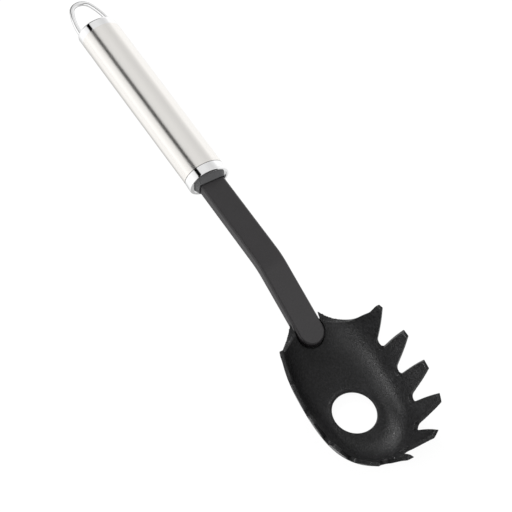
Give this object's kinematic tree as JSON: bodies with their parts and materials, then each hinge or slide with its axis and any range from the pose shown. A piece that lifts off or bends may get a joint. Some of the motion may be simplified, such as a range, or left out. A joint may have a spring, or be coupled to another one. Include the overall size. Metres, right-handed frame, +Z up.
{
  "type": "pasta server",
  "caption": "Pasta server: a tined black bowl with a round drain hole, a bent moulded neck, and an oval steel handle with polished end rings and a wire hanging loop.",
  "frame": {"origin": "middle of the bounding box on the surface that the tool lies on", "axes": "+X along the tool from the hanging loop to the head, +Y to its left, +Z up out of the bowl"},
  "size_m": [0.3192, 0.066, 0.0349],
  "materials": {
    "handle_steel": "satin, with a fine grain along the handle",
    "polished_steel": "polished",
    "collar_plastic": "smooth moulded black",
    "core_plastic": "plain moulded",
    "neck_plastic": "satin moulded dark grey",
    "head_plastic": "fine moulded grain, black"
  },
  "bodies": {
    "root": {"handle_tube": "handle_steel", "mouth_ferrule": "polished_steel", "mouth_collar": "collar_plastic", "handle_core": "core_plastic", "end_cap": "polished_steel", "loop_anchor": "core_plastic", "hanging_loop": "polished_steel", "neck_shaft": "neck_plastic", "server_head": "head_plastic"}
  },
  "joints": []
}
